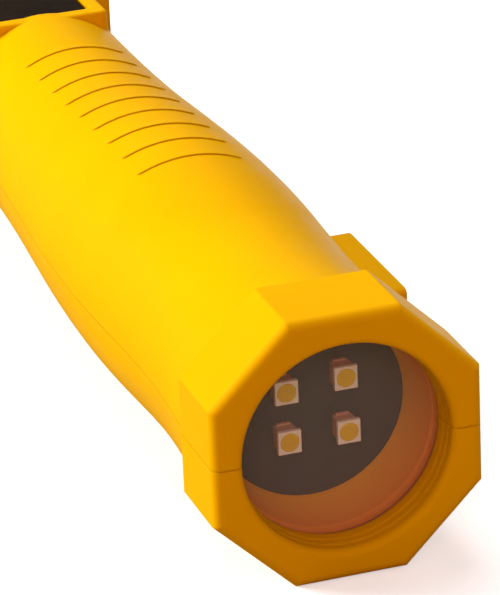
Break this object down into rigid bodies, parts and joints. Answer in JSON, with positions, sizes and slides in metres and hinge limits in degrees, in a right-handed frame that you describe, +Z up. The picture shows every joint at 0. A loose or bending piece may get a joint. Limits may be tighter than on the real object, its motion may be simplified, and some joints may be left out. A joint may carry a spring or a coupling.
{
  "type": "hand lamp",
  "caption": "Yellow rechargeable hand lamp with an octagonal head and tail, a waisted round grip, a flush window, a guarded push button, a hinged port cover and a lanyard ring.",
  "frame": {"origin": "centre of the flat octagonal tail face, on the lamp's long axis", "axes": "+Y out of the tail along the long axis, so the lamp shines along -Y; +Z up, through the push button; +X completes the frame, with the port cover on the +X side"},
  "size_m": [0.0414, 0.205, 0.0406],
  "materials": {
    "shell_yellow": "moulded yellow plastic, satin with a very fine spark texture",
    "cup_yellow": "moulded yellow plastic, satin",
    "seal_rubber": "black silicone",
    "lens_clear": "clear polycarbonate, polished",
    "board_black": "black solder mask on an aluminium core",
    "led_white": "white moulded LED package",
    "led_phosphor": "yellow phosphor in clear silicone",
    "sink_aluminium": "as extruded",
    "lead_insulation": "silicone wire insulation",
    "board_green": "green solder mask",
    "component_black": "moulded component body",
    "socket_steel": "nickel plated",
    "cell_sleeve": "heat-shrink sleeve",
    "cradle_black": "moulded nylon",
    "spring_steel": "nickel plated spring steel",
    "plunger_white": "moulded acetal",
    "button_rubber": "matte black rubber",
    "pin_steel": "stainless pin",
    "ring_steel": "stainless wire, brushed",
    "screw_steel": "zinc plated"
  },
  "bodies": {
    "body": {"upper_shell": "shell_yellow", "lower_shell": "shell_yellow", "shell_seal": "seal_rubber", "lens": "lens_clear", "lens_seal": "seal_rubber", "lens_spacer": "cup_yellow", "led_board": "board_black", "led_packages": "led_white", "led_phosphors": "led_phosphor", "heat_sink": "sink_aluminium", "led_leads": "lead_insulation", "driver_board": "board_green", "driver_components": "component_black", "charge_socket": "socket_steel", "battery_cell": "cell_sleeve", "cell_cradle": "cradle_black", "contact_spring": "spring_steel", "contact_plate": "spring_steel", "battery_leads": "lead_insulation", "switch_board": "board_green", "switch_body": "component_black", "switch_leads": "lead_insulation", "port_cover_pin": "pin_steel", "shell_screws": "screw_steel"},
    "power_button": {"button_cap": "button_rubber", "switch_plunger": "plunger_white"},
    "charging_cover": {"port_cover": "shell_yellow", "port_gasket": "seal_rubber"},
    "ring": {"lanyard_ring": "ring_steel"}
  },
  "joints": [
    {"name": "power_button_press", "type": "slide", "parent": "body", "child": "power_button", "axis": [0, 0, -1], "range_m": [0, 0.0018], "stiffness_N_per_m": 400},
    {"name": "port_cover_hinge", "type": "hinge", "parent": "body", "child": "charging_cover", "pos_m": [0.0188, -0.1608, -0.0099], "axis": [0, 1, 0], "range_deg": [0, 110]},
    {"name": "lanyard_ring_hinge", "type": "hinge", "parent": "body", "child": "ring", "pos_m": [0, -0.006, -0.0174], "axis": [1, 0, 0], "range_deg": [0, 180]}
  ]
}
